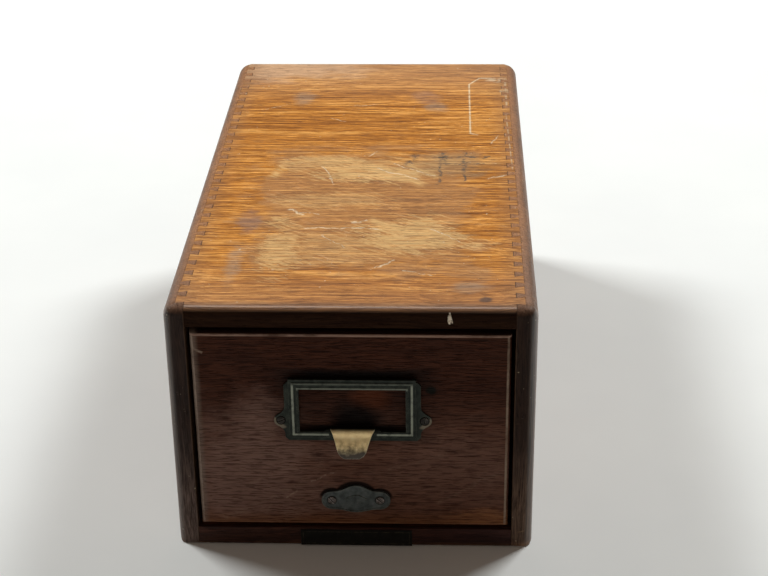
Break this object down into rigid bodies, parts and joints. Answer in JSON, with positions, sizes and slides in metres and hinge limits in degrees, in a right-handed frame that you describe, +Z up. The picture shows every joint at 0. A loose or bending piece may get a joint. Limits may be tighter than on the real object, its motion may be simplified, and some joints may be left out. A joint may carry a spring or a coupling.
{
  "type": "card file box",
  "caption": "Oak desk-top card file: a dovetailed case with one drawer, a label frame with a finger tab, and a sliding card follower.",
  "frame": {"origin": "centre of the case's underside", "axes": "+Z up, +Y from the drawer's front to the case's back, +X to the right as seen from the front, so the drawer opens along -Y"},
  "size_m": [0.203, 0.4072, 0.154],
  "materials": {
    "stained_oak": "worn satin varnish over stained quartered oak",
    "dark_oak": "dark stained oak, worn satin varnish",
    "drawer_wood": "plain unvarnished wood, dulled with age",
    "dark_bronze": "brass gone dark and greenish, rubbed brighter on its edges",
    "worn_brass": "dull brass",
    "old_steel": "darkened steel",
    "black_enamel": "black enamel, rubbed"
  },
  "bodies": {
    "case": {"case_top": "stained_oak", "case_bottom": "dark_oak", "case_left_side": "stained_oak", "case_right_side": "stained_oak", "case_back": "dark_oak", "runner_left": "drawer_wood", "runner_right": "drawer_wood", "stop_cleat": "drawer_wood", "cleat_screw_left": "old_steel", "cleat_screw_right": "old_steel", "rail_plate": "black_enamel"},
    "drawer": {"drawer_front": "dark_oak", "drawer_left_side": "drawer_wood", "drawer_right_side": "drawer_wood", "drawer_back": "drawer_wood", "drawer_bottom": "drawer_wood", "label_pull": "dark_bronze", "pull_screw_left": "dark_bronze", "pull_screw_right": "dark_bronze", "badge_plate": "dark_bronze", "badge_screw_left": "old_steel", "badge_screw_right": "old_steel", "catch_screw": "old_steel", "follower_track": "old_steel", "track_screw_front": "old_steel", "track_screw_rear": "old_steel"},
    "catch": {"stop_catch": "worn_brass"},
    "follower": {"follower_slide": "old_steel", "follower_pivot_pin": "old_steel", "follower_plate": "drawer_wood", "follower_bracket": "old_steel", "follower_screw_lower": "old_steel", "follower_screw_upper": "old_steel"},
    "lever": {"follower_lever": "worn_brass"}
  },
  "joints": [
    {"name": "drawer_slide", "type": "slide", "parent": "case", "child": "drawer", "axis": [0, -1, 0], "range_m": [0, 0.312]},
    {"name": "catch_turn", "type": "hinge", "parent": "drawer", "child": "catch", "pos_m": [0, 0.1765, 0.117], "axis": [0, 1, 0], "range_deg": [0, 90]},
    {"name": "follower_slide", "type": "slide", "parent": "drawer", "child": "follower", "axis": [0, -1, 0], "range_m": [-0.007, 0.24]},
    {"name": "lever_lift", "type": "hinge", "parent": "follower", "child": "lever", "pos_m": [0, 0.132, 0.0344], "axis": [1, 0, 0], "range_deg": [0, 55]}
  ]
}
